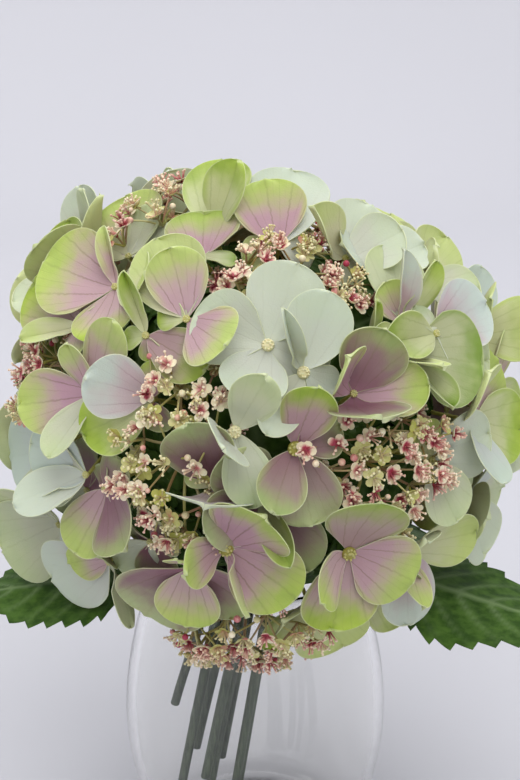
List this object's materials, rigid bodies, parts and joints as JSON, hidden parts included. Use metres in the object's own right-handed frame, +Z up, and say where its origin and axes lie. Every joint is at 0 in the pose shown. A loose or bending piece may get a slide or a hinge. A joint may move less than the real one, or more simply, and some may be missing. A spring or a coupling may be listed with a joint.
{
  "type": "hydrangeas in a vase",
  "caption": "Domed bunch of lacecap hydrangea heads on slim green stems with toothed leaves, standing in a rounded clear glass vase.",
  "frame": {"origin": "middle of the flat underside of the vase's foot", "axes": "+Z up along the vase's axis; -Y is the front, where the flower heads face the viewer; +X to the viewer's right"},
  "size_m": [0.2986, 0.2735, 0.3922],
  "materials": {
    "glass": "clear, polished",
    "petal": "matte, soft green edges over mauve centres",
    "umbel": "matte, cream to rose",
    "leaf": "matte dark green, paler veins",
    "stem": "matte grey green"
  },
  "bodies": {
    "root": {"leaf_left": "leaf", "leaf_rear": "leaf", "leaf_rear_left": "leaf", "leaf_rear_right": "leaf", "leaf_right": "leaf", "spray_crown": "petal", "spray_front_left": "petal", "spray_front_right": "petal", "spray_left": "petal", "spray_low_front": "petal", "spray_rear_left": "petal", "spray_rear_right": "petal", "spray_rear_top": "petal", "spray_right": "petal", "spray_top_left": "petal", "stem_crown": "stem", "stem_front_left": "stem", "stem_front_right": "stem", "stem_left": "stem", "stem_low_front": "stem", "stem_rear_left": "stem", "stem_rear_right": "stem", "stem_rear_top": "stem", "stem_right": "stem", "stem_top_left": "stem", "umbel_crown": "umbel", "umbel_front_left": "umbel", "umbel_front_right": "umbel", "umbel_left": "umbel", "umbel_low_front": "umbel", "umbel_rear_left": "umbel", "umbel_rear_right": "umbel", "umbel_rear_top": "umbel", "umbel_right": "umbel", "umbel_top_left": "umbel", "vase": "glass"}
  },
  "joints": []
}
